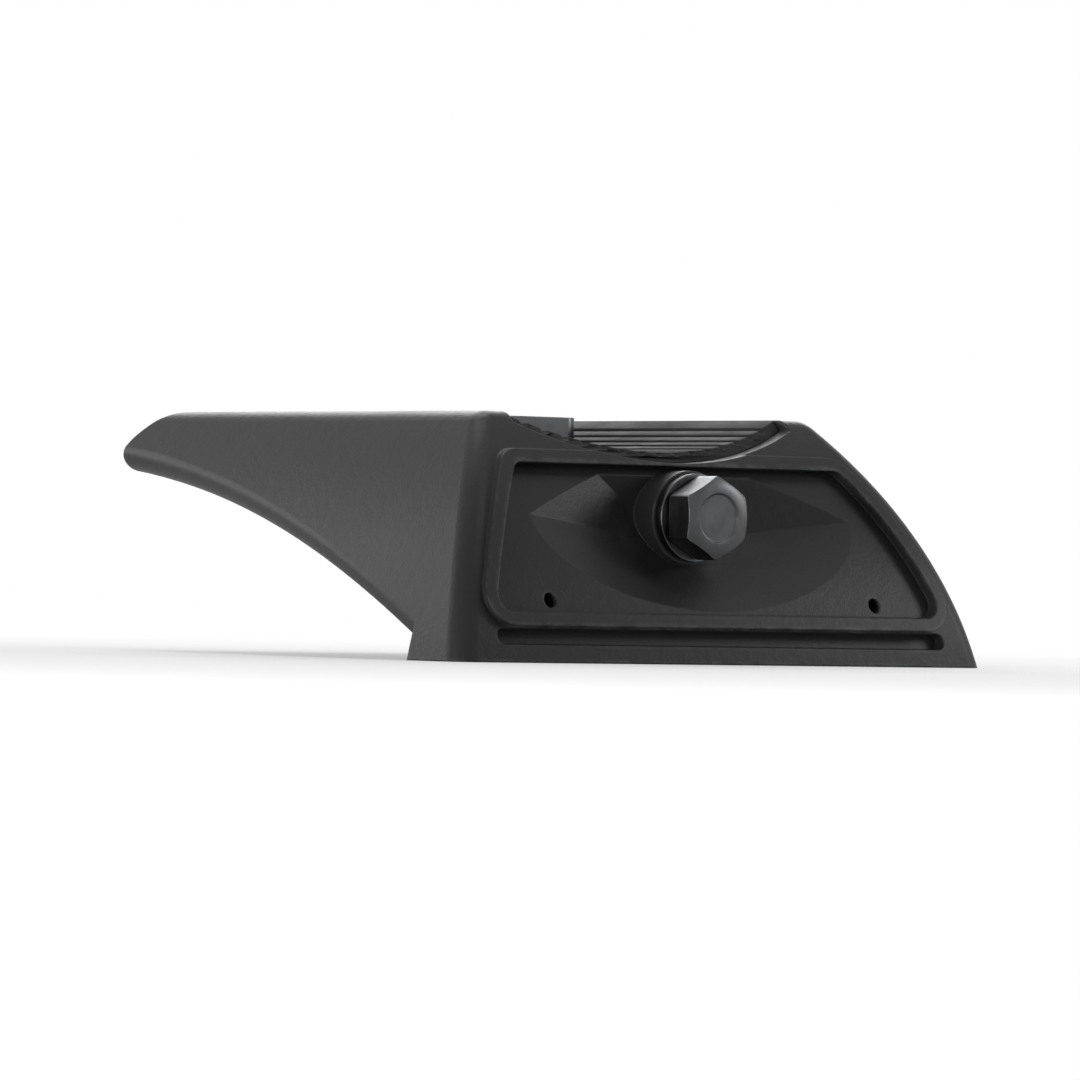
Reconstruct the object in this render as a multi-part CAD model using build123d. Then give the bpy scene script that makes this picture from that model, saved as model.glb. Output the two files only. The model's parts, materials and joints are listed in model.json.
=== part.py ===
# Roof bar foot: a cast leg that carries a cross bar in a curved saddle and grips a base tongue.
# Frame: origin on the base plane at the middle of the tongue socket, +X outboard along the bar,
# +Y along the vehicle, +Z up. All sizes are in millimetres.
from build123d import *
import math
import os

# Overall form of the leg casting
HEIGHT = 33.7            # base to the top of the side walls
FOOT_LENGTH = 97.0       # outboard base edge to the wing tip
BASE_WIDTH = 91.0        # across the base, along the vehicle
TOP_WIDTH = 57.0         # across the side walls at the top
BASE_OUT = 19.0          # outboard base edge from the origin
BASE_STRIP = 11.5        # depth of the base at its two ends
BASE_STEP = 2.3          # height of the step at the inboard end of that strip
FACE_LEAN = 19.0         # how far the outboard face leans inboard on its way up
FACE_BOW = 2.8           # how far the outboard face bows out
SIDE_BOW = 2.5           # how far each side wall bows out
CORNER_RADIUS = 3.0      # round the outboard face
SHOULDER_RADIUS = 4.0    # along the top of each side wall

# Wing that runs inboard under the bar
ARCH_BOW = 3.2           # how far the arch under the wing bows up
TIP_DEPTH = 9.0          # top of the wing to the arch at the nose
NOSE_TOP = 8.0           # tip to the upper end of the nose
NOSE_BREAK = 0.7         # tip to the point where the nose turns more sharply
NOSE_DROP = 3.6          # top of the wing to that point
NOSE_FOOT = 5.5          # tip to the lower end of the nose
LIP_RADIUS = 2.2         # along the lower edge of each side wall

# Walls inside the casting
SIDE_WALL = 3.0
FACE_WALL = 4.0
TIP_WALL = 4.0
RIB_WALL = 3.0
PEDESTAL_DEPTH = 33.0    # outboard base edge to the inboard end of the base
SLANT_RUN = 4.0          # slanted base walls, measured along the bar

# Saddle and its rubber pad
SADDLE_WIDTH = 48.0
SADDLE_DEPTH = 5.0       # top of the side walls to the lowest line of the pad's upper face
SADDLE_WALL = 2.7
PAD_THICKNESS = 1.5
PAD_GAP = 0.2            # pad to the casting at its sides
PAD_MARGIN = 1.5         # pad to the ends of the saddle
PAD_GROOVES = 15         # lengthwise grooves in the pad's upper face
PAD_GROOVE_PITCH = 3.0
PAD_GROOVE_RADIUS = 0.6

# Rim, panel and scoop on the outboard face
RIM_SIDE = 3.0           # side wall to the rim
RIM_FOOT = 4.9           # base to the rim
RIM_HIGH = 28.6          # base to the rim's upper edge
RIM_WIDTH = 1.8
RIM_RAISE = 0.9
RIM_RADIUS = 4.0         # at the rim's corners
RIM_ROUND = 0.7          # along the rim's two front edges
PANEL_DEPTH = 0.8
GROOVE_LENGTH = 77.0
GROOVE_WIDTH = 2.2
GROOVE_HEIGHT = 3.5      # base to the middle of the groove
GROOVE_DEPTH = 1.6
SCOOP_HALF = 27.5        # middle to the scoop's side corners
SCOOP_TOP_HALF = 14.0
SCOOP_UP = 7.2           # screw to the scoop's straight upper edge
SCOOP_DOWN = 17.5        # screw to the lower end of the scoop's bowl
SCOOP_DEPTH = 4.2
SCOOP_FLOOR = 0.35       # share of the scoop's outline that its floor has
SCOOP_BLEND = 8.0        # radius between the scoop's walls and its floor
CLIP_HOLE_RADIUS = 1.0   # small holes at the panel's lower corners
CLIP_HOLE_SPACING = 56.0
CLIP_HOLE_HEIGHT = 8.3
CLIP_HOLE_DEPTH = 3.0

# Tongue socket and clamp
SOCKET_WIDTH = 18.5      # between the guide walls
SOCKET_MOUTH = 10.0      # clamped tongue at the base plane
SOCKET_BEVEL = 4.0       # undercut of each jaw face
TONGUE_HEIGHT = 8.0
SOCKET_ROOF = 10.0       # height of the fixed jaw's undercut space
JAW_GAP = 0.25           # moving jaw to each guide wall
JAW_LIFT = 0.3           # moving jaw above the base plane and below the saddle
JAW_FOOT = 7.0           # thickness of the moving jaw at the base plane
JAW_BLOCK = 11.0         # length of the threaded block
JAW_STEP_HEIGHT = 13.0   # underside of the threaded block

# Clamp screw and what is on it
SCREW_HEIGHT = 19.8
SCREW_RADIUS = 3.0
SCREW_LENGTH = 35.0      # under the head
SCREW_HOLE_GAP = 0.3
THREAD_GAP = 0.08
SEAT_OUT = 10.0          # face of the screw's boss from the origin
SEAT_WALL = 7.0
SEAT_RADIUS = 6.4
HEX_SIDES = 6
HEX_TURN = 30.0          # brings a corner of the hex head to the bottom
HEAD_FLATS = 10.0
HEAD_HEIGHT = 5.0
HEAD_CHAMFER = 0.6
WASHER_RADIUS = 6.0
WASHER_THICKNESS = 1.2
WASHER_GAP = 0.1         # washer to its boss
CLIP_THICKNESS = 0.8
CLIP_RADIUS = 4.6
CLIP_BORE = 2.4
CLIP_MOUTH = 0.8         # share of the bore that the clip's mouth opens
CLIP_GAP = 0.2           # retaining clip to the wall behind the boss
CLIP_ROOM = 0.3          # round the retaining clip

# Channel plate and the two screws that hold the bar
BAR_LIP = 2.0            # bar lip between the pad and the channel plate
PLATE_LENGTH = 40.0
PLATE_WIDTH = 17.0
PLATE_THICKNESS = 3.0
PLATE_CORNER = 2.0
PLATE_MIDDLE = -46.0     # middle of the channel plate from the origin
BAR_SCREW_SPACING = 24.0
BAR_SCREW_RADIUS = 3.0
BAR_SCREW_GAP = 0.3
BAR_HEAD_RADIUS = 5.25
BAR_HEAD_HEIGHT = 3.3
BAR_HEAD_DOME = 0.6      # share of the head's height that is rounded
BAR_KEY_FLATS = 4.0
BAR_KEY_DEPTH = 2.0
BAR_WASHER_RADIUS = 6.0
BAR_WASHER_THICKNESS = 1.2
BOSS_RADIUS = 7.0
BOSS_DROP = 1.2          # boss face below the saddle's lowest underside

# Places that follow from the sizes above
TIP = BASE_OUT - FOOT_LENGTH
BASE_IN = BASE_OUT - BASE_STRIP
PEDESTAL_IN = BASE_OUT - PEDESTAL_DEPTH
HALF_BASE = BASE_WIDTH / 2
HALF_TOP = TOP_WIDTH / 2
HALF_SADDLE = SADDLE_WIDTH / 2
SADDLE_HEIGHT = HEIGHT - SADDLE_DEPTH
CASTING_TOP = SADDLE_HEIGHT - PAD_THICKNESS
SADDLE_UNDER = CASTING_TOP - SADDLE_WALL
BOSS_FACE = SADDLE_UNDER - BOSS_DROP
PLATE_UNDER = SADDLE_HEIGHT + BAR_LIP
HALF_SOCKET = SOCKET_WIDTH / 2
HALF_MOUTH = SOCKET_MOUTH / 2
SCREW_SEAT = SEAT_OUT + WASHER_GAP + WASHER_THICKNESS
BEHIND_SEAT = SEAT_OUT - SEAT_WALL
REACH = 2 * FOOT_LENGTH  # longer than anything that it cuts
BAR_SCREW_PLACES = (PLATE_MIDDLE + BAR_SCREW_SPACING / 2, PLATE_MIDDLE - BAR_SCREW_SPACING / 2)


def bow_circle(low, high, bow):
    """Centre and radius of the arc from low to high that bows out to its right."""
    chord = high - low
    radius = (chord.length ** 2 / 4 + bow ** 2) / (2 * bow)
    outward = Vector(chord.Y, -chord.X).normalized()
    return (low + high) / 2 + outward * (bow - radius), radius


FACE_CENTRE, FACE_RADIUS = bow_circle(
    Vector(BASE_OUT, 0), Vector(BASE_OUT - FACE_LEAN, HEIGHT), FACE_BOW
)
SIDE_CENTRE, SIDE_RADIUS = bow_circle(Vector(HALF_BASE, 0), Vector(HALF_TOP, HEIGHT), SIDE_BOW)
ARCH_CENTRE, ARCH_RADIUS = bow_circle(
    Vector(BASE_IN, BASE_STEP), Vector(TIP + NOSE_FOOT, HEIGHT - TIP_DEPTH), ARCH_BOW
)
SADDLE_CENTRE, SADDLE_RADIUS = bow_circle(
    Vector(-HALF_SADDLE, HEIGHT), Vector(HALF_SADDLE, HEIGHT), SADDLE_DEPTH
)


def along_x(face):
    """Prism of a (Y, Z) face along the bar."""
    return extrude(Plane.YZ * face, amount=REACH, both=True)


def along_y(face):
    """Prism of an (X, Z) face along the vehicle."""
    return extrude(Plane.XZ * face, amount=REACH, both=True)


def polygon(*points):
    return make_face(Polyline(*points, close=True))


def face_x(z, out=0.0):
    """X of the outboard face at a height, moved out along its normal."""
    return FACE_CENTRE.X + math.sqrt((FACE_RADIUS + out) ** 2 - (z - FACE_CENTRE.Y) ** 2)


def side_y(z, inset=0.0):
    """Half the width between the side walls at a height, moved in along their normals."""
    return SIDE_CENTRE.X + math.sqrt((SIDE_RADIUS - inset) ** 2 - (z - SIDE_CENTRE.Y) ** 2)


def face_profile(out=0.0):
    """Side view of everything behind the outboard face, moved out along its normal."""
    front = ThreePointArc(
        (face_x(0, out), 0), (face_x(HEIGHT / 2, out), HEIGHT / 2), (face_x(HEIGHT, out), HEIGHT)
    )
    back = Polyline(front @ 1, (-REACH, HEIGHT), (-REACH, 0), front @ 0)
    return make_face([front, back])


def face_slab(back, front):
    """Slab along the outboard face, from back mm behind it to front mm before it."""
    return along_y(face_profile(front) - face_profile(-back))


def end_face(inset=0.0):
    """End view between the two bowed side walls, with a flat top."""
    right = ThreePointArc(
        (side_y(0, inset), 0), (side_y(HEIGHT / 2, inset), HEIGHT / 2), (side_y(HEIGHT, inset), HEIGHT)
    )
    left = mirror(right, about=Plane.YZ)
    return make_face([right, Line(right @ 1, left @ 1), left, Line(left @ 0, right @ 0)])


def rounded_end_face():
    """End view of the leg's outside, with its two shoulders rounded."""
    outline = end_face()
    return fillet(outline.vertices().group_by(Axis.Y)[-1], SHOULDER_RADIUS)


def bar_face(drop=0.0):
    """End view of the space above the saddle curve, lowered by drop."""
    curve = ThreePointArc(
        (-HALF_SADDLE, HEIGHT - drop), (0, SADDLE_HEIGHT - drop), (HALF_SADDLE, HEIGHT - drop)
    )
    sky = Polyline(curve @ 1, (HALF_SADDLE, REACH), (-HALF_SADDLE, REACH), curve @ 0)
    return make_face([curve, sky])


def between(start, end):
    """Everything between two places along the bar, from the base plane to the top."""
    return along_y(polygon((start, 0), (end, 0), (end, HEIGHT), (start, HEIGHT)))


def face_block():
    """Everything between the side walls and behind the outboard face, rounded all round that face."""
    block = along_x(rounded_end_face()) & along_y(face_profile())
    edges = block.faces().sort_by(Axis.X)[-1].edges().sort_by(Axis.Z)
    return fillet(edges[1:], CORNER_RADIUS)


def under_arch():
    """Everything under the arch of the wing."""
    return along_y(Pos(ARCH_CENTRE.X, ARCH_CENTRE.Y) * Circle(ARCH_RADIUS))


def is_lip(edge):
    """True for the two lower edges of the wing, between the arch and the side walls."""
    middle = edge.center()
    on_arch = abs((Vector(middle.X, middle.Z) - ARCH_CENTRE).length - ARCH_RADIUS) < LIP_RADIUS
    return on_arch and abs(middle.Y) > HALF_SADDLE


def wing_block():
    """Wing over the arch, with its lower lips rounded and no nose yet."""
    block = along_x(rounded_end_face()) & between(-REACH, BASE_IN)
    block -= under_arch()
    return fillet([edge for edge in block.edges() if is_lip(edge)], LIP_RADIUS)


def nose_profile():
    """Side view of everything outboard of the wing's rounded nose."""
    top = Line((REACH, HEIGHT), (TIP + NOSE_TOP, HEIGHT))
    brow = TangentArc(top @ 1, (TIP + NOSE_BREAK, HEIGHT - NOSE_DROP), tangent=top % 1)
    chin = TangentArc(brow @ 1, (TIP + NOSE_FOOT, HEIGHT - TIP_DEPTH), tangent=brow % 1)
    rest = Polyline(chin @ 1, (TIP + NOSE_FOOT, 0), (REACH, 0), top @ 0)
    return make_face([top, brow, chin, rest])


def outer_body():
    """Outside of the leg as one block."""
    over_base = between(BASE_IN, REACH)
    return face_block() & (over_base + wing_block()) & along_y(nose_profile())


def behind_face():
    """Everything behind the outboard face, from the base plane to the top."""
    return along_y(face_profile())


def cavity():
    """Hollow under the leg, between the walls and under the saddle."""
    drop = PAD_THICKNESS + SADDLE_WALL
    under_roof = Pos(0, -drop) * Rectangle(BASE_WIDTH, 2 * HEIGHT)
    length = along_y(face_profile(-FACE_WALL)) & between(TIP + TIP_WALL, REACH)
    width = along_x(end_face(SIDE_WALL) & under_roof)
    return (length & width) - along_x(bar_face(drop))


def saddle_plate():
    """Curved plate under the bar, from the outboard face to the tip."""
    band = bar_face(PAD_THICKNESS + SADDLE_WALL) - bar_face(PAD_THICKNESS)
    return along_x(band) & behind_face() & along_y(nose_profile())


def guide_walls():
    """Two walls that guide the moving jaw and stiffen the wing as far as its tip."""
    middle = HALF_SOCKET + RIB_WALL / 2
    walls = Part()
    for side in (1, -1):
        walls += Pos(0, side * middle, HEIGHT / 2) * Box(REACH, RIB_WALL, HEIGHT)
    over_arch = between(TIP + TIP_WALL / 2, BASE_IN) - under_arch()
    pedestal = between(PEDESTAL_IN, BASE_IN)
    return walls & (over_arch + pedestal)


def slanted_walls():
    """Two base walls that run from the ends of the base strip to the guide walls."""
    end_half = HALF_SOCKET + RIB_WALL
    walls = Part()
    for side in (1, -1):
        plan = polygon(
            (BASE_IN, side * HALF_BASE),
            (PEDESTAL_IN, side * end_half),
            (PEDESTAL_IN + SLANT_RUN, side * end_half),
            (BASE_IN + SLANT_RUN, side * HALF_BASE),
        )
        walls += extrude(plan, amount=HEIGHT)
    return walls


def fixed_jaw():
    """Block behind the face that carries the screw's boss and the fixed jaw."""
    return between(BEHIND_SEAT, REACH) & Box(REACH * 2, SOCKET_WIDTH + 2 * RIB_WALL, REACH)


def socket():
    """Space for the base tongue, undercut on its outboard side."""
    undercut = HALF_MOUTH + SOCKET_BEVEL
    space = along_y(polygon(
        (HALF_MOUTH, 0),
        (undercut, TONGUE_HEIGHT),
        (undercut, SOCKET_ROOF),
        (PEDESTAL_IN, SOCKET_ROOF),
        (PEDESTAL_IN, 0),
    ))
    return space & Box(REACH, SOCKET_WIDTH, REACH)


def panel_plane():
    """Plane that touches the panel inside the rim at the clamp screw's height."""
    lean = math.asin((SCREW_HEIGHT - FACE_CENTRE.Y) / FACE_RADIUS)
    return Plane(
        origin=(face_x(SCREW_HEIGHT, -PANEL_DEPTH), 0, SCREW_HEIGHT),
        x_dir=(0, 1, 0),
        z_dir=(math.cos(lean), 0, math.sin(lean)),
    )


def scoop_outline(share, grow):
    """Outline of the scoop, scaled by share and grown all round: a trapezium over half an ellipse."""
    half = SCOOP_HALF * share + grow
    top = SCOOP_TOP_HALF * share + grow
    up = SCOOP_UP * share + grow
    down = SCOOP_DOWN * share + grow
    roof = Polyline((half, 0), (top, up), (-top, up), (-half, 0))
    bowl = EllipticalCenterArc((0, 0), half, down, start_angle=180, arc_size=180)
    return make_face([roof, bowl])


def scoop_block(grow=0.0, deeper=0.0):
    """Block of the hollow round the clamp screw, from just above the panel down to its floor."""
    mouth_share = 1 + (1 - SCOOP_FLOOR) * PANEL_DEPTH / SCOOP_DEPTH
    mouth = panel_plane().offset(PANEL_DEPTH) * scoop_outline(mouth_share, grow)
    floor = panel_plane().offset(-SCOOP_DEPTH - deeper) * scoop_outline(SCOOP_FLOOR, grow)
    return loft([mouth, floor], ruled=True)


def scoop():
    """The hollow round the clamp screw, with its walls blended into its floor."""
    plane = panel_plane()
    block = scoop_block()
    floor = block.faces().sort_by(Axis(plane.origin, plane.z_dir))[0]
    return fillet(floor.edges(), SCOOP_BLEND)


def rim_face(inset):
    """End view of the rim's outline, moved inward by inset."""
    low = RIM_FOOT + inset
    high = RIM_HIGH - inset
    band = polygon((-HALF_BASE, low), (HALF_BASE, low), (HALF_BASE, high), (-HALF_BASE, high))
    outline = end_face(RIM_SIDE + inset) & band
    return fillet(outline.vertices(), RIM_RADIUS - inset)


def rim():
    """Raised bead round the panel, rooted in the face wall."""
    bead = along_x(rim_face(0) - rim_face(RIM_WIDTH)) & face_slab(FACE_WALL / 2, RIM_RAISE)
    front = bead.faces().filter_by(GeomType.CYLINDER).sort_by(SortBy.AREA)[-1]
    return fillet(front.edges(), RIM_ROUND)


def rod_x(radius, start, end):
    """Round bar along the clamp screw's axis."""
    return extrude(Plane.YZ.offset(start) * Pos(0, SCREW_HEIGHT) * Circle(radius), amount=end - start)


def rod_z(radius, x, start, end):
    """Upright round bar on the foot's middle plane."""
    return extrude(Plane.XY.offset(start) * Pos(x, 0) * Circle(radius), amount=end - start)


def face_holes():
    """Two small holes at the panel's lower corners."""
    holes = Part()
    start = face_x(CLIP_HOLE_HEIGHT, -PANEL_DEPTH) - CLIP_HOLE_DEPTH
    for side in (1, -1):
        middle = Pos(side * CLIP_HOLE_SPACING / 2, CLIP_HOLE_HEIGHT)
        holes += extrude(Plane.YZ.offset(start) * middle * Circle(CLIP_HOLE_RADIUS), amount=REACH)
    return holes


def leg_casting():
    bar_space = along_x(bar_face(PAD_THICKNESS))
    inside = along_x(end_face(LIP_RADIUS)) & behind_face()
    leg = outer_body() - cavity() - bar_space
    leg += saddle_plate()
    walls = guide_walls() + slanted_walls() + fixed_jaw() + scoop_block(FACE_WALL, FACE_WALL)
    for x in BAR_SCREW_PLACES:
        walls += rod_z(BOSS_RADIUS, x, BOSS_FACE, CASTING_TOP)
    leg += (walls & inside) - bar_space
    leg -= along_x(rim_face(RIM_WIDTH / 2)) & face_slab(PANEL_DEPTH, REACH)
    leg -= scoop()
    leg += rim() - bar_space
    groove = Pos(0, GROOVE_HEIGHT) * SlotOverall(GROOVE_LENGTH, GROOVE_WIDTH)
    leg -= along_x(groove) & face_slab(GROOVE_DEPTH, REACH)
    leg += rod_x(SEAT_RADIUS, BEHIND_SEAT, SEAT_OUT)
    leg -= rod_x(SEAT_RADIUS, SEAT_OUT, BASE_OUT)
    leg -= rod_x(CLIP_RADIUS + CLIP_ROOM, BEHIND_SEAT - SEAT_WALL, BEHIND_SEAT)
    leg -= socket()
    leg -= rod_x(SCREW_RADIUS + SCREW_HOLE_GAP, BEHIND_SEAT - SEAT_WALL, BASE_OUT)
    for x in BAR_SCREW_PLACES:
        leg -= rod_z(BAR_SCREW_RADIUS + BAR_SCREW_GAP, x, 0, HEIGHT)
    return leg - face_holes()


def pad_grooves():
    """Round grooves along the pad, evenly spaced over its upper face."""
    grooves = Sketch()
    for number in range(PAD_GROOVES):
        turn = (number - (PAD_GROOVES - 1) / 2) * PAD_GROOVE_PITCH / SADDLE_RADIUS
        middle = SADDLE_CENTRE + Vector(math.sin(turn), -math.cos(turn)) * SADDLE_RADIUS
        grooves += Pos(middle.X, middle.Y) * Circle(PAD_GROOVE_RADIUS)
    return along_x(grooves)


def saddle_pad():
    """Grooved rubber strip in the saddle, with a hole for each bar screw."""
    band = bar_face(PAD_THICKNESS) - bar_face()
    width = SADDLE_WIDTH - 2 * PAD_GAP
    length = along_y(face_profile(-PAD_MARGIN)) & between(TIP + NOSE_TOP + PAD_MARGIN, REACH)
    pad = along_x(band) & length & Box(2 * REACH, width, REACH)
    pad -= pad_grooves()
    for x in BAR_SCREW_PLACES:
        pad -= rod_z(BAR_SCREW_RADIUS + BAR_SCREW_GAP, x, 0, HEIGHT)
    return pad


def clamp_jaw():
    """Moving jaw: a threaded block on the clamp screw with a foot that hooks the tongue."""
    heel = HALF_MOUTH + SOCKET_BEVEL
    top = SADDLE_UNDER - JAW_LIFT
    block = along_y(polygon(
        (-HALF_MOUTH, JAW_LIFT),
        (-heel, TONGUE_HEIGHT),
        (-heel, top),
        (-heel - JAW_BLOCK, top),
        (-heel - JAW_BLOCK, JAW_STEP_HEIGHT),
        (-HALF_MOUTH - JAW_FOOT, TONGUE_HEIGHT),
        (-HALF_MOUTH - JAW_FOOT, JAW_LIFT),
    ))
    jaw = block & Box(REACH, SOCKET_WIDTH - 2 * JAW_GAP, REACH)
    return jaw - rod_x(SCREW_RADIUS + THREAD_GAP, -REACH, REACH)


def clamp_screw():
    """Hex head screw with a groove for its retaining clip."""
    end = SCREW_SEAT + HEAD_HEIGHT
    hexagon = RegularPolygon(HEAD_FLATS / 2, HEX_SIDES, major_radius=False, rotation=HEX_TURN)
    head = extrude(Plane.YZ.offset(SCREW_SEAT) * Pos(0, SCREW_HEIGHT) * hexagon, amount=HEAD_HEIGHT)
    turned = rod_x(HEAD_FLATS / 2 / math.cos(math.pi / HEX_SIDES), SCREW_SEAT, end)
    head &= chamfer(turned.faces().sort_by(Axis.X)[-1].edges(), HEAD_CHAMFER)
    point = SCREW_SEAT - SCREW_LENGTH
    shank = rod_x(SCREW_RADIUS, point, SCREW_SEAT)
    shank = chamfer(shank.faces().sort_by(Axis.X)[0].edges(), HEAD_CHAMFER)
    return head + shank - clip_ring()


def clamp_washer():
    start = SEAT_OUT + WASHER_GAP
    ring = rod_x(WASHER_RADIUS, start, SCREW_SEAT)
    return ring - rod_x(SCREW_RADIUS + SCREW_HOLE_GAP, start, SCREW_SEAT)


def clip_ring():
    """Whole ring of the retaining clip, which is also the groove that it sits in."""
    end = BEHIND_SEAT - CLIP_GAP
    start = end - CLIP_THICKNESS
    return rod_x(CLIP_RADIUS, start, end) - rod_x(CLIP_BORE, start, end)


def retaining_clip():
    """Ring with an open mouth that keeps the screw in the leg."""
    mouth = Box(REACH, 2 * CLIP_BORE * CLIP_MOUTH, 2 * CLIP_RADIUS)
    return clip_ring() - Pos(0, 0, SCREW_HEIGHT - CLIP_RADIUS) * mouth


def channel_plate():
    """Plate that lies in the bar's channel and takes the two bar screws."""
    plan = Pos(PLATE_MIDDLE, 0) * RectangleRounded(PLATE_LENGTH, PLATE_WIDTH, PLATE_CORNER)
    plate = extrude(Plane.XY.offset(PLATE_UNDER) * plan, amount=PLATE_THICKNESS)
    for x in BAR_SCREW_PLACES:
        plate -= rod_z(BAR_SCREW_RADIUS, x, 0, REACH)
    return plate


def bar_screw(x):
    """Button head screw from below, with a key socket in its head."""
    seat = BOSS_FACE - BAR_WASHER_THICKNESS
    head = rod_z(BAR_HEAD_RADIUS, x, seat - BAR_HEAD_HEIGHT, seat)
    head = fillet(head.faces().sort_by(Axis.Z)[0].edges(), BAR_HEAD_HEIGHT * BAR_HEAD_DOME)
    key = Pos(x, 0) * RegularPolygon(BAR_KEY_FLATS / 2, HEX_SIDES, major_radius=False)
    head -= extrude(Plane.XY.offset(seat - BAR_HEAD_HEIGHT) * key, amount=BAR_KEY_DEPTH)
    return head + rod_z(BAR_SCREW_RADIUS, x, seat, PLATE_UNDER + PLATE_THICKNESS)


def bar_washer(x):
    start = BOSS_FACE - BAR_WASHER_THICKNESS
    ring = rod_z(BAR_WASHER_RADIUS, x, start, BOSS_FACE)
    return ring - rod_z(BAR_SCREW_RADIUS + BAR_SCREW_GAP, x, start, BOSS_FACE)


def all_parts():
    parts = {
        "leg_casting": leg_casting(),
        "saddle_pad": saddle_pad(),
        "clamp_jaw": clamp_jaw(),
        "clamp_screw": clamp_screw(),
        "clamp_washer": clamp_washer(),
        "retaining_clip": retaining_clip(),
        "channel_plate": channel_plate(),
    }
    for place, x in zip(("outer", "inner"), BAR_SCREW_PLACES):
        parts[place + "_bar_screw"] = bar_screw(x)
        parts[place + "_bar_washer"] = bar_washer(x)
    return parts


os.makedirs("parts", exist_ok=True)
for name, shape in all_parts().items():
    export_step(shape, f"parts/{name}.step")
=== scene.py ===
import json
import math

import bmesh
import bpy
from mathutils import Matrix, Vector


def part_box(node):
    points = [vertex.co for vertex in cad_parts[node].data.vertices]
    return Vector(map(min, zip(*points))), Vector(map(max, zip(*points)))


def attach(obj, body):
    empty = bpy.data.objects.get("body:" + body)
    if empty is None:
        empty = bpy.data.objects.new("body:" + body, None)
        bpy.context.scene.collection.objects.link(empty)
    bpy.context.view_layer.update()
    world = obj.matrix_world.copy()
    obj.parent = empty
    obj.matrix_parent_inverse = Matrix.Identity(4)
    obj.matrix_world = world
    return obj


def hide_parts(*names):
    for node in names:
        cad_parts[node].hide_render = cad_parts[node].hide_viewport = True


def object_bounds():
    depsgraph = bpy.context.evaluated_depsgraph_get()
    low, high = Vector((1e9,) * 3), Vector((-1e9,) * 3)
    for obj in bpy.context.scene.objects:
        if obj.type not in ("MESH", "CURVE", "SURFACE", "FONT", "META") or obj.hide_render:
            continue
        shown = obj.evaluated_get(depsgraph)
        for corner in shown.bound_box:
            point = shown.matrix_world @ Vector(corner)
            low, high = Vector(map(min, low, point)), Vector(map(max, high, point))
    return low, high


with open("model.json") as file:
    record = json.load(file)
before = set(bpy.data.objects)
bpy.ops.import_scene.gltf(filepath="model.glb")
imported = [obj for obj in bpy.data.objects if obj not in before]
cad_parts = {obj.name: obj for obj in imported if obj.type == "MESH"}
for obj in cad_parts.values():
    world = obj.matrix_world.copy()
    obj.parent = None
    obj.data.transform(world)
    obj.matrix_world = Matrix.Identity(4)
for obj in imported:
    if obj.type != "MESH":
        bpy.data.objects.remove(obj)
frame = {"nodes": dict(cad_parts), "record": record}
CAD_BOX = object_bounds()
MM = 0.001

# Camera
VIEW_AZIMUTH = math.radians(52.65)
VIEW_ROLL = math.radians(1.15)
VIEW_DISTANCE = 1.150
VIEW_HEIGHT = 0.012            # above the floor
VIEW_TARGET = Vector((-0.0235, 0.0, 0.0165))
VIEW_WIDTH = 0.150             # width of the picture at the foot
SENSOR = 36.0                  # width of the camera's sensor in millimetres

# Edges: radii of cast, moulded and steel edges, and the pieces with wider ones
CAST_EDGE = 0.35 * MM
STEEL_EDGE = 0.12 * MM
SOFT_EDGES = {"clamp_jaw": 0.3 * MM, "channel_plate": 0.3 * MM, "saddle_pad": 0.2 * MM}
EDGE_SEGMENTS = 3
EDGE_ANGLE = math.radians(32)
EDGE_SAMPLES = 8               # rays that test how near an edge is
WELD_DISTANCE = 0.002 * MM

# Screws: M6 with a pitch of 1 mm
ROUND_STEPS = 96               # points round a screw
THREAD_PITCH = 1.0 * MM
THREAD_CREST = 2.98 * MM       # radius at the crest of the thread
THREAD_ROOT = 2.42 * MM        # radius at its root
THREAD_PROFILE = ((0.06, 0.0), (0.44, 1.0), (0.56, 1.0), (0.94, 0.0))  # place in a pitch, height
THREAD_RUNOUT = 0.6            # turns over which the thread runs out at its ends
SHANK = 3.0 * MM               # radius of the plain shank
POINT_BREAK = 0.6 * MM         # chamfer at the point
HEX_CORNER = math.pi / 3       # from one corner of a hexagon to the next

# Clamp screw, measured from the seat under its head
HEAD_HEIGHT = 5.0 * MM
HEAD_FLATS = 10.0 * MM
HEAD_CORNER = 5.68 * MM        # radius of the slightly rounded corners
HEAD_TOP = 4.65 * MM           # radius of the flat end of the head
HEAD_SLOPE = math.tan(math.radians(30))
HEAD_DISH = 0.25 * MM          # hollow in the end of the head
HEAD_DISH_RADIUS = 3.4 * MM
COLLAR = 4.6 * MM              # radius of the washer face under the head
COLLAR_HEIGHT = 0.4 * MM
CLIP_GROOVE = (8.5 * MM, 9.3 * MM)
CLIP_GROOVE_RADIUS = 2.4 * MM
PLAIN_SHANK = 13.5 * MM        # seat to the start of the thread
CLAMP_AXES = Matrix(((0, 0, 1), (0, -1, 0), (1, 0, 0))).to_4x4()  # the screw's Z along the foot's X

# Bar screws, measured from their lowest point
BUTTON_RADIUS = 5.25 * MM
BUTTON_HEIGHT = 3.3 * MM
BUTTON_DOME = 0.6              # share of the head's height that is rounded
BUTTON_ARC_STEPS = 6
KEY_FLATS = 4.0 * MM
KEY_DEPTH = 2.0 * MM
KEY_LEAD = 0.25 * MM           # chamfer at the mouth of the key socket
BAR_SHANK = 4.5 * MM           # plain length under the head
BAR_SCREWS = ("outer_bar_screw", "inner_bar_screw")

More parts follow.
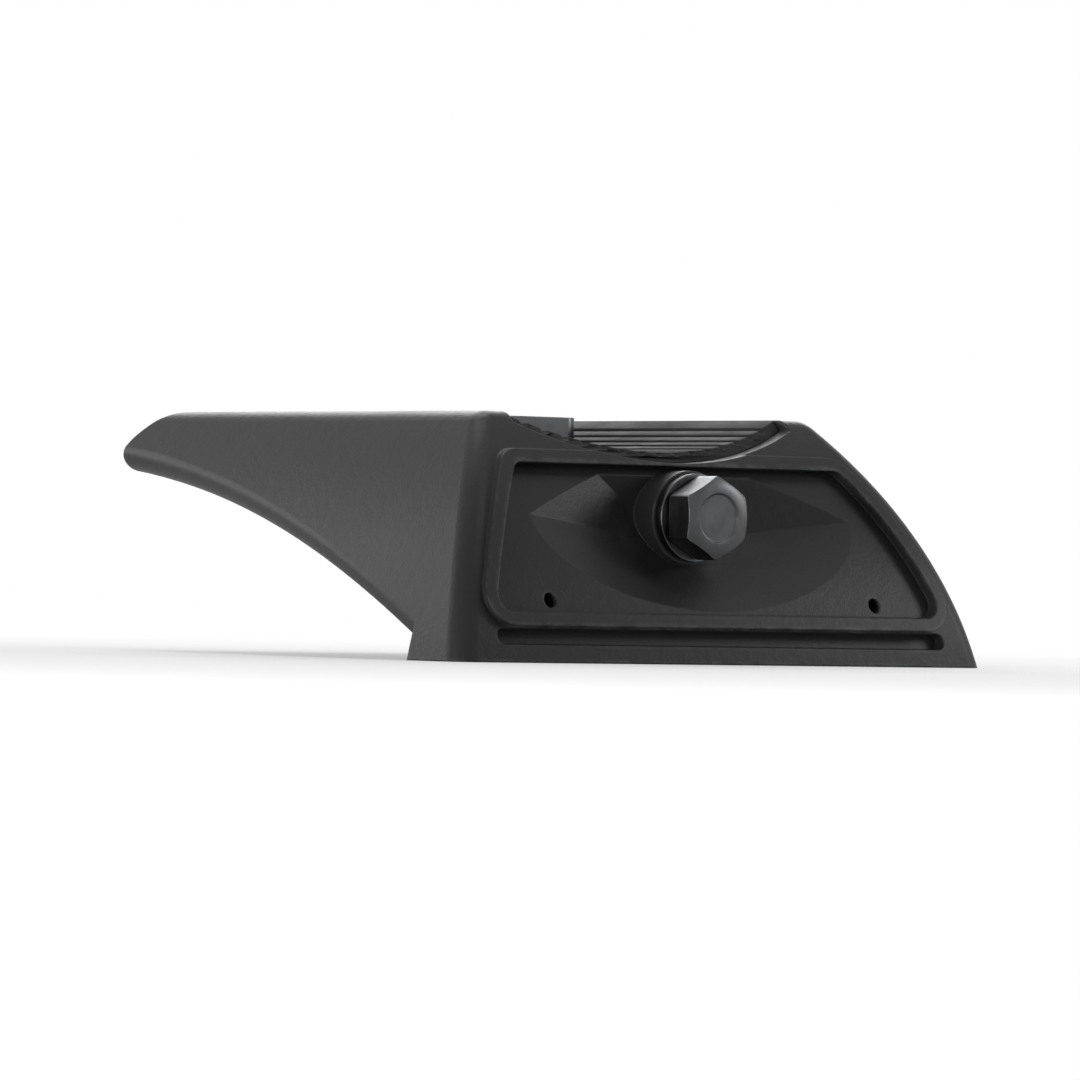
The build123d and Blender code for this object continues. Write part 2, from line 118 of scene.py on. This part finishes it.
# Finishes: two tones of the plain surface, tone of worn edges (on the coat also a painted highlight),
# roughness range, gloss
COAT_TONES = ((0.020, 0.020, 0.021), (0.027, 0.027, 0.029))
# Lighter edge tone of the coat: partly edge wear, partly a painted highlight on its rims and beads
COAT_WORN_AND_HIGHLIT = (0.085, 0.085, 0.088)
COAT_ROUGHNESS = (0.39, 0.44)
COAT_GLOSS = 0.13              # plain paint has 0.5, and the fine texture takes most of it away
RUBBER_TONES = ((0.014, 0.014, 0.014), (0.030, 0.030, 0.031))
RUBBER_ROUGHNESS = (0.66, 0.86)
RUBBER_GLOSS = 0.15
DARK_TONES = ((0.048, 0.049, 0.052), (0.092, 0.094, 0.098))
DARK_WORN = (0.36, 0.36, 0.36)
DARK_ROUGHNESS = (0.30, 0.44)
ZINC_TONES = ((0.46, 0.47, 0.48), (0.60, 0.60, 0.60))
ZINC_WORN = (0.72, 0.72, 0.71)
ZINC_ROUGHNESS = (0.24, 0.38)
JAW_TONES = ((0.07, 0.07, 0.072), (0.17, 0.17, 0.175))
JAW_WORN = (0.33, 0.33, 0.33)
JAW_ROUGHNESS = (0.45, 0.65)
JAW_METAL = 0.85
NOISE_MIDDLE = (0.3, 0.7)      # range that holds most of a noise's values

# Patterns of the finishes: size of the grains, detail, roughness
COAT_CLOUD = (14 * MM, 5.0, 0.55)
COAT_GRAIN = (0.45 * MM, 2.0, 0.6)
COAT_PEEL = (1.6 * MM, 1.0, 0.55)
RUBBER_BLOOM = (6 * MM, 5.0, 0.65)
RUBBER_GRAIN = (0.3 * MM, 2.0, 0.55)
PLATING_CLOUD = (2.5 * MM, 5.0, 0.6)
PLATING_SCRATCHES = (0.9 * MM, 4.0, 0.7)
SCRATCH_STRETCH = (1.0, 9.0, 1.0)
JAW_GRAIN = (0.5 * MM, 6.0, 0.7)

# Depth of the fine relief that the patterns give
COAT_RELIEF = 0.03 * MM
RUBBER_RELIEF = 0.02 * MM
PLATING_RELIEF = 0.010 * MM
JAW_RELIEF = 0.03 * MM

# Wear along the outer edges: reach, pattern of the worn patches, strength; on the coat it is partly a
# painted highlight
# The coat's wide reach lightens its rounded rims and beads: wear and a painted highlight together
COAT_WEAR_AND_HIGHLIGHT = (0.9 * MM, (3 * MM, 3.0, 0.55), 0.7)
PLATING_WEAR = (0.2 * MM, (1.2 * MM, 3.0, 0.55), 0.8)
JAW_WEAR = (0.35 * MM, (2 * MM, 3.0, 0.55), 0.8)
WEAR_PATCHES = (0.38, 0.65)    # values of that pattern where wear starts and where it is full
EDGE_OPENNESS = (0.85, 0.45)   # openness inside the surface, on even faces and at an outer edge

# Floor and light
FLOOR_RADIUS = 6.0
FLOOR_STEPS = 96
FLOOR_COLOUR = (0.82, 0.82, 0.82, 1.0)
FLOOR_ROUGHNESS = 0.9
FLOOR_FADE = (0.06, 0.26)      # from lit floor to plain white, measured from the origin
FLOOR_WHITE = (0.35, 1.0)      # share of plain white at those two distances
WHITE = (1.0, 1.0, 1.0, 1.0)
WORLD_STRENGTH = 0.07
LIGHTS = {
    # name: (direction from the foot, distance, width, height, power)
    "key": ((0.20, -0.98, 0.07), 1.00, 0.50, 0.10, 6.00),
    "wall": ((-0.80, -0.47, 0.32), 0.95, 0.60, 0.35, 2.20),
    "top": ((-0.50, 0.30, 1.00), 1.00, 0.50, 0.50, 3.50),
    "bowl": ((0.40, 0.32, 0.85), 0.90, 0.22, 0.22, 0.60),
    "back": ((-0.75, 0.55, 0.45), 0.90, 0.60, 0.40, 3.00),
    "low": ((0.60, 0.74, 0.30), 0.22, 0.05, 0.05, 0.12),
}


def new_finish(name):
    """Material with a Principled shader: the material, its tree and the shader."""
    material = bpy.data.materials.new(name)
    material.use_nodes = True
    tree = material.node_tree
    return material, tree, tree.nodes["Principled BSDF"]


def add_node(tree, kind, **values):
    """New node with its input values set by name."""
    node = tree.nodes.new(kind)
    for name, value in values.items():
        node.inputs[name.replace("_", " ")].default_value = value
    return node


def object_place(tree):
    """Coordinates that stay with the piece."""
    return add_node(tree, "ShaderNodeTexCoord").outputs["Object"]


def stretched(tree, scale):
    """Object coordinates scaled along each axis."""
    mapping = add_node(tree, "ShaderNodeMapping", Scale=scale)
    tree.links.new(object_place(tree), mapping.inputs["Vector"])
    return mapping.outputs["Vector"]


def noise(tree, place, pattern):
    """Noise of a pattern."""
    size, detail, roughness = pattern
    node = add_node(tree, "ShaderNodeTexNoise", Scale=1 / size, Detail=detail, Roughness=roughness)
    tree.links.new(place, node.inputs["Vector"])
    return node.outputs["Fac"]


def remap(tree, value, source, target):
    """Value taken from one range to another."""
    node = add_node(tree, "ShaderNodeMapRange")
    node.inputs["From Min"].default_value, node.inputs["From Max"].default_value = source
    node.inputs["To Min"].default_value, node.inputs["To Max"].default_value = target
    tree.links.new(value, node.inputs["Value"])
    return node.outputs["Result"]


def combine(tree, operation, first, second):
    """Two values joined into their sum, their product or the larger of them."""
    node = tree.nodes.new("ShaderNodeMath")
    node.operation = operation
    tree.links.new(first, node.inputs[0])
    tree.links.new(second, node.inputs[1])
    return node.outputs[0]


def two_tone(tree, factor, tones):
    """Colour between two tones."""
    node = tree.nodes.new("ShaderNodeValToRGB")
    for element, tone in zip(node.color_ramp.elements, tones):
        element.color = (*tone, 1.0)
    tree.links.new(factor, node.inputs["Fac"])
    return node.outputs["Color"]


def blend_colour(tree, factor, first, second):
    """First colour where factor is 0, second tone where it is 1."""
    node = tree.nodes.new("ShaderNodeMix")
    node.data_type = "RGBA"
    colours = [socket for socket in node.inputs if socket.type == "RGBA"]
    tree.links.new(factor, node.inputs["Factor"])
    tree.links.new(first, colours[0])
    colours[1].default_value = (*second, 1.0)
    return next(socket for socket in node.outputs if socket.type == "RGBA")


def outer_edges(tree, reach):
    """0 on even faces, 1 on the edges that stick out, within about reach of them."""
    inside = add_node(tree, "ShaderNodeAmbientOcclusion", Distance=reach)
    inside.inside = True
    inside.only_local = True
    inside.samples = EDGE_SAMPLES
    return remap(tree, inside.outputs["AO"], EDGE_OPENNESS, (0.0, 1.0))


def worn_and_highlit_colour(tree, colour, worn, wear):
    """Colour rubbed to the worn tone in patches along the edges that stick out; on the coat this
    lighter edge tone is also a painted highlight.
    """
    reach, pattern, strength = wear
    patches = remap(tree, noise(tree, object_place(tree), pattern), WEAR_PATCHES, (0.0, strength))
    rubbed = combine(tree, "MULTIPLY", outer_edges(tree, reach), patches)
    return blend_colour(tree, rubbed, colour, worn)


def rough_surface(tree, shader, height, depth, edge_radius):
    """Bump of that depth on the shader's normal, which turns softly over sharp edges."""
    soft = add_node(tree, "ShaderNodeBevel", Radius=edge_radius)
    soft.samples = EDGE_SAMPLES
    bump = add_node(tree, "ShaderNodeBump", Distance=depth)
    tree.links.new(soft.outputs["Normal"], bump.inputs["Normal"])
    tree.links.new(height, bump.inputs["Height"])
    tree.links.new(bump.outputs["Normal"], shader.inputs["Normal"])


def black_coat():
    """Satin black powder coat with a fine grain, lighter in patches on its edges: partly wear, partly a
    painted highlight.
    """
    material, tree, shader = new_finish("black_coat")
    place = object_place(tree)
    cloud = noise(tree, place, COAT_CLOUD)
    grain = noise(tree, place, COAT_GRAIN)
    peel = noise(tree, place, COAT_PEEL)
    # Lighter patches on the outer edges: partly wear, partly a painted highlight
    coat = worn_and_highlit_colour(tree, two_tone(tree, cloud, COAT_TONES), COAT_WORN_AND_HIGHLIT, COAT_WEAR_AND_HIGHLIGHT)
    tree.links.new(coat, shader.inputs["Base Color"])
    shader.inputs["Specular IOR Level"].default_value = COAT_GLOSS
    tree.links.new(remap(tree, cloud, NOISE_MIDDLE, COAT_ROUGHNESS), shader.inputs["Roughness"])
    rough_surface(tree, shader, combine(tree, "ADD", grain, peel), COAT_RELIEF, CAST_EDGE)
    return material


def rubber():
    """Matte black moulded rubber with a chalky bloom."""
    material, tree, shader = new_finish("rubber")
    place = object_place(tree)
    bloom = noise(tree, place, RUBBER_BLOOM)
    tree.links.new(two_tone(tree, bloom, RUBBER_TONES), shader.inputs["Base Color"])
    shader.inputs["Specular IOR Level"].default_value = RUBBER_GLOSS
    tree.links.new(remap(tree, bloom, NOISE_MIDDLE, RUBBER_ROUGHNESS), shader.inputs["Roughness"])
    rough_surface(tree, shader, noise(tree, place, RUBBER_GRAIN), RUBBER_RELIEF, CAST_EDGE)
    return material


def plated_steel(name, tones, worn, roughness):
    """Plated steel with cloudy plating, fine scratches and bright worn edges."""
    material, tree, shader = new_finish(name)
    cloud = noise(tree, object_place(tree), PLATING_CLOUD)
    plating = worn_and_highlit_colour(tree, two_tone(tree, cloud, tones), worn, PLATING_WEAR)
    tree.links.new(plating, shader.inputs["Base Color"])
    shader.inputs["Metallic"].default_value = 1.0
    tree.links.new(remap(tree, cloud, NOISE_MIDDLE, roughness), shader.inputs["Roughness"])
    scratches = noise(tree, stretched(tree, SCRATCH_STRETCH), PLATING_SCRATCHES)
    rough_surface(tree, shader, scratches, PLATING_RELIEF, STEEL_EDGE)
    return material


def jaw_steel():
    """Dark sintered steel with an open, grainy skin."""
    material, tree, shader = new_finish("jaw_steel")
    grain = noise(tree, object_place(tree), JAW_GRAIN)
    skin = worn_and_highlit_colour(tree, two_tone(tree, grain, JAW_TONES), JAW_WORN, JAW_WEAR)
    tree.links.new(skin, shader.inputs["Base Color"])
    shader.inputs["Metallic"].default_value = JAW_METAL
    tree.links.new(remap(tree, grain, NOISE_MIDDLE, JAW_ROUGHNESS), shader.inputs["Roughness"])
    rough_surface(tree, shader, grain, JAW_RELIEF, CAST_EDGE)
    return material


def make_finishes():
    """One finish for each slot of the record."""
    return {
        "black_coat": black_coat(),
        "rubber": rubber(),
        "dark_steel": plated_steel("dark_steel", DARK_TONES, DARK_WORN, DARK_ROUGHNESS),
        "zinc_steel": plated_steel("zinc_steel", ZINC_TONES, ZINC_WORN, ZINC_ROUGHNESS),
        "jaw_steel": jaw_steel(),
    }


def round_edges(piece, width):
    """Joins the mesh's split points, rounds its sharp edges and shades it smooth."""
    weld = piece.modifiers.new("weld", "WELD")
    weld.merge_threshold = WELD_DISTANCE
    bevel = piece.modifiers.new("edges", "BEVEL")
    bevel.width = width
    bevel.segments = EDGE_SEGMENTS
    bevel.limit_method = "ANGLE"
    bevel.angle_limit = EDGE_ANGLE
    bevel.use_clamp_overlap = True
    bevel.harden_normals = True


def dress_nodes(finishes):
    """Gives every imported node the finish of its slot. The casting has its rounds already."""
    for row in frame["record"]["subparts"]:
        piece = frame["nodes"][row["node"]]
        piece.data.materials.clear()
        piece.data.materials.append(finishes[row["material_slot"]])
        if row["material_slot"] != "black_coat":
            round_edges(piece, SOFT_EDGES.get(row["node"], STEEL_EDGE))


def round_ring(radius, along):
    """Ring of a turned form: radius and place along the axis at each step round it."""
    return [(radius, along)] * ROUND_STEPS


def hex_radius(step, flats):
    """Distance from the axis to a hexagon's side at a step round it."""
    turn = (2 * math.pi * step / ROUND_STEPS) % HEX_CORNER - HEX_CORNER / 2
    return flats / 2 / math.cos(turn)


def hex_ring(flats, along, corner=math.inf):
    """Ring of a hexagon with its corners cut back to the radius called corner."""
    return [(min(hex_radius(step, flats), corner), along) for step in range(ROUND_STEPS)]


def cone_ring(ring, radius, slope):
    """Ring lowered by slope for each metre that it lies outside the radius."""
    return [(out, along - (out - radius) * slope) for out, along in ring]


def ring_point(mesh, step, radius, along):
    """New point of the mesh at a step round the axis."""
    turn = 2 * math.pi * step / ROUND_STEPS
    return mesh.verts.new((radius * math.cos(turn), radius * math.sin(turn), along))


def add_turned(mesh, rings):
    """Skin through the rings, open at both ends; gives each ring's loop of points."""
    loops = []
    for ring in rings:
        loops.append([ring_point(mesh, step, *place) for step, place in enumerate(ring)])
    for near, far in zip(loops, loops[1:]):
        for step in range(ROUND_STEPS):
            after = (step + 1) % ROUND_STEPS
            mesh.faces.new((near[step], near[after], far[after], far[step]))
    return loops


def thread_radius(turns, last, height, start_radius, end_radius):
    """Radius of the thread, which runs out to the start's and the end's radius."""
    radius = THREAD_ROOT + (THREAD_CREST - THREAD_ROOT) * height
    start_share = max(0.0, 1 - turns / THREAD_RUNOUT)
    end_share = max(0.0, 1 - (last - turns) / THREAD_RUNOUT)
    radius += (start_radius - radius) * start_share
    return radius + (end_radius - radius) * end_share


def thread_points(mesh, start_loop, end_loop, pitches):
    """Points of a right-handed thread by row and step; only the seam goes on for one more turn."""
    start = start_loop[0].co
    end = end_loop[0].co
    last = pitches + 1 + 2 * THREAD_PROFILE[0][0]
    margin = (end.z - start.z - last * THREAD_PITCH) / 2
    points = {}
    for row in range((pitches + 1) * len(THREAD_PROFILE) + 1):
        pitch, part = divmod(row, len(THREAD_PROFILE))
        share, height = THREAD_PROFILE[part]
        steps = ROUND_STEPS if row <= pitches * len(THREAD_PROFILE) else 1
        for step in range(steps):
            turns = pitch + share + step / ROUND_STEPS
            radius = thread_radius(turns, last, height, start.xy.length, end.xy.length)
            along = start.z + margin + turns * THREAD_PITCH
            points[row, step] = ring_point(mesh, step, radius, along)
    return points


def add_thread(mesh, start_loop, end_loop):
    """Right-handed thread between two loops, closed onto both of them."""
    turn_rows = len(THREAD_PROFILE)
    length = end_loop[0].co.z - start_loop[0].co.z
    pitches = math.floor(length / THREAD_PITCH - 2 * THREAD_PROFILE[0][0]) - 1
    rows = pitches * turn_rows
    points = thread_points(mesh, start_loop, end_loop, pitches)

    def at(row, step):
        """Point at a step of a row; a full turn on lies the row of the next pitch."""
        return points[row + turn_rows, 0] if step == ROUND_STEPS else points[row, step]

    for row in range(rows):
        for step in range(ROUND_STEPS):
            mesh.faces.new((at(row, step), at(row, step + 1), at(row + 1, step + 1), at(row + 1, step)))
    for step in range(ROUND_STEPS - 1):
        mesh.faces.new((start_loop[step], start_loop[step + 1], at(0, step + 1), at(0, step)))
    seam = [points[row, 0] for row in range(turn_rows + 1)]
    mesh.faces.new((start_loop[-1], start_loop[0], *seam, at(0, ROUND_STEPS - 1)))
    for step in range(1, ROUND_STEPS):
        after = (step + 1) % ROUND_STEPS
        mesh.faces.new((at(rows, step), at(rows, step + 1), end_loop[after], end_loop[step]))
    seam = [points[row, 0] for row in range(rows + turn_rows, rows, -1)]
    mesh.faces.new((at(rows, 0), at(rows, 1), end_loop[1], end_loop[0], *seam))


def finish_screw(mesh, node, body, place, finishes):
    """Turns the mesh into a piece that stands for a packed screw."""
    bmesh.ops.recalc_face_normals(mesh, faces=mesh.faces)
    for face in mesh.faces:
        face.smooth = True
    for edge in mesh.edges:
        edge.smooth = edge.calc_face_angle(0.0) < EDGE_ANGLE
    mesh.transform(place)
    data = bpy.data.meshes.new("threaded_" + node)
    mesh.to_mesh(data)
    mesh.free()
    piece = bpy.data.objects.new("threaded_" + node, data)
    bpy.context.scene.collection.objects.link(piece)
    data.materials.append(finishes["dark_steel"])
    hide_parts(node)
    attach(piece, body)


def clamp_screw(finishes):
    """Hex head screw with a washer face, a clip groove and a thread to its point."""
    low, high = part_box("clamp_screw")
    length = high.x - low.x - HEAD_HEIGHT
    hexagon = hex_ring(HEAD_FLATS, HEAD_HEIGHT, HEAD_CORNER)
    groove_start, groove_end = CLIP_GROOVE
    mesh = bmesh.new()
    head = add_turned(mesh, [
        round_ring(HEAD_DISH_RADIUS - HEAD_DISH, HEAD_HEIGHT - HEAD_DISH),
        round_ring(HEAD_DISH_RADIUS, HEAD_HEIGHT),
        round_ring(HEAD_TOP, HEAD_HEIGHT),
        cone_ring(hexagon, HEAD_TOP, HEAD_SLOPE),
        hex_ring(HEAD_FLATS, COLLAR_HEIGHT, HEAD_CORNER),
        round_ring(COLLAR, COLLAR_HEIGHT),
        round_ring(COLLAR, 0.0),
        round_ring(SHANK, 0.0),
        round_ring(SHANK, -groove_start),
        round_ring(CLIP_GROOVE_RADIUS, -groove_start),
        round_ring(CLIP_GROOVE_RADIUS, -groove_end),
        round_ring(SHANK, -groove_end),
        round_ring(SHANK, -PLAIN_SHANK),
    ])
    point = add_turned(mesh, [
        round_ring(THREAD_ROOT, POINT_BREAK - length),
        round_ring(THREAD_ROOT - POINT_BREAK, -length),
    ])
    mesh.faces.new(head[0])
    mesh.faces.new(point[-1])
    add_thread(mesh, point[0], head[-1])
    seat = Vector((high.x - HEAD_HEIGHT, (low.y + high.y) / 2, (low.z + high.z) / 2))
    finish_screw(mesh, "clamp_screw", "screw", Matrix.Translation(seat) @ CLAMP_AXES, finishes)


def button_rings():
    """Rounded lower edge of a button head, from its flat face to its side."""
    dome = BUTTON_HEIGHT * BUTTON_DOME
    rings = []
    for step in range(BUTTON_ARC_STEPS + 1):
        turn = math.pi / 2 * step / BUTTON_ARC_STEPS
        radius = BUTTON_RADIUS - dome * (1 - math.sin(turn))
        rings.append(round_ring(radius, dome * (1 - math.cos(turn))))
    return rings


def bar_screw(node, finishes):
    """Button head screw with a key socket, threaded up to its end."""
    low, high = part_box(node)
    length = high.z - low.z
    mesh = bmesh.new()
    head = add_turned(mesh, [
        hex_ring(KEY_FLATS, KEY_DEPTH),
        hex_ring(KEY_FLATS, KEY_LEAD),
        hex_ring(KEY_FLATS + 2 * KEY_LEAD, 0.0),
        *button_rings(),
        round_ring(BUTTON_RADIUS, BUTTON_HEIGHT),
        round_ring(SHANK, BUTTON_HEIGHT),
        round_ring(SHANK, BUTTON_HEIGHT + BAR_SHANK),
    ])
    point = add_turned(mesh, [
        round_ring(THREAD_ROOT, length - POINT_BREAK),
        round_ring(THREAD_ROOT - POINT_BREAK, length),
    ])
    mesh.faces.new(head[0])
    mesh.faces.new(point[-1])
    add_thread(mesh, head[-1], point[0])
    foot = Vector(((low.x + high.x) / 2, (low.y + high.y) / 2, low.z))
    finish_screw(mesh, node, "leg", Matrix.Translation(foot), finishes)


def seen_rays(tree):
    """1 for rays from the camera, off gloss and through glass; 0 for those that only carry light."""
    rays = add_node(tree, "ShaderNodeLightPath").outputs
    bounced = combine(tree, "MAXIMUM", rays["Is Glossy Ray"], rays["Is Transmission Ray"])
    return combine(tree, "MAXIMUM", rays["Is Camera Ray"], bounced)


def floor_finish():
    """Pale floor that keeps the foot's shadow and fades to plain white further out."""
    material, tree, shader = new_finish("floor")
    shader.inputs["Base Color"].default_value = FLOOR_COLOUR
    shader.inputs["Roughness"].default_value = FLOOR_ROUGHNESS
    reach = tree.nodes.new("ShaderNodeVectorMath")
    reach.operation = "LENGTH"
    tree.links.new(object_place(tree), reach.inputs[0])
    fade = remap(tree, reach.outputs["Value"], FLOOR_FADE, FLOOR_WHITE)
    white = add_node(tree, "ShaderNodeEmission", Strength=1.0)
    mix = tree.nodes.new("ShaderNodeMixShader")
    tree.links.new(combine(tree, "MULTIPLY", fade, seen_rays(tree)), mix.inputs[0])
    tree.links.new(shader.outputs[0], mix.inputs[1])
    tree.links.new(white.outputs[0], mix.inputs[2])
    tree.links.new(mix.outputs[0], tree.nodes["Material Output"].inputs["Surface"])
    return material


def make_floor():
    """Round floor under the foot."""
    mesh = bpy.data.meshes.new("floor")
    disc = bmesh.new()
    bmesh.ops.create_circle(disc, cap_ends=True, segments=FLOOR_STEPS, radius=FLOOR_RADIUS)
    disc.to_mesh(mesh)
    disc.free()
    floor = bpy.data.objects.new("floor", mesh)
    floor.location.z = CAD_BOX[0].z
    floor.data.materials.append(floor_finish())
    bpy.context.scene.collection.objects.link(floor)


def make_world():
    """Weak even light all round, which shows as white to the camera and in gloss."""
    world = bpy.data.worlds.new("studio")
    world.use_nodes = True
    bpy.context.scene.world = world
    tree = world.node_tree
    light = tree.nodes["Background"]
    light.inputs["Strength"].default_value = WORLD_STRENGTH
    light.inputs["Color"].default_value = WHITE
    white = add_node(tree, "ShaderNodeBackground", Color=WHITE, Strength=1.0)
    mix = tree.nodes.new("ShaderNodeMixShader")
    tree.links.new(seen_rays(tree), mix.inputs[0])
    tree.links.new(light.outputs[0], mix.inputs[1])
    tree.links.new(white.outputs[0], mix.inputs[2])
    tree.links.new(mix.outputs[0], tree.nodes["World Output"].inputs["Surface"])


def make_lights():
    """Soft lamps round the foot, all turned to it."""
    for name, (direction, distance, width, height, power) in LIGHTS.items():
        lamp = bpy.data.lights.new(name, "AREA")
        lamp.shape = "RECTANGLE"
        lamp.size = width
        lamp.size_y = height
        lamp.energy = power
        away = Vector(direction).normalized()
        holder = bpy.data.objects.new(name, lamp)
        holder.location = VIEW_TARGET + away * distance
        holder.rotation_euler = away.to_track_quat("Z", "Y").to_euler()
        bpy.context.scene.collection.objects.link(holder)


def make_camera():
    """Camera low beside the foot, turned to its outboard corner."""
    lens = bpy.data.cameras.new("camera")
    lens.sensor_width = SENSOR
    lens.lens = SENSOR * VIEW_DISTANCE / VIEW_WIDTH
    camera = bpy.data.objects.new("camera", lens)
    side = Vector((math.sin(VIEW_AZIMUTH), -math.cos(VIEW_AZIMUTH), 0.0))
    place = Vector((VIEW_TARGET.x, VIEW_TARGET.y, VIEW_HEIGHT)) + side * VIEW_DISTANCE
    aim = (VIEW_TARGET - place).to_track_quat("-Z", "Y").to_matrix().to_4x4()
    camera.matrix_world = Matrix.Translation(place) @ aim @ Matrix.Rotation(VIEW_ROLL, 4, "Z")
    bpy.context.scene.collection.objects.link(camera)
    bpy.context.scene.camera = camera


finishes = make_finishes()
dress_nodes(finishes)
clamp_screw(finishes)
for node in BAR_SCREWS:
    bar_screw(node, finishes)
make_floor()
make_world()
make_lights()
make_camera()
bpy.context.scene.view_settings.view_transform = "Standard"
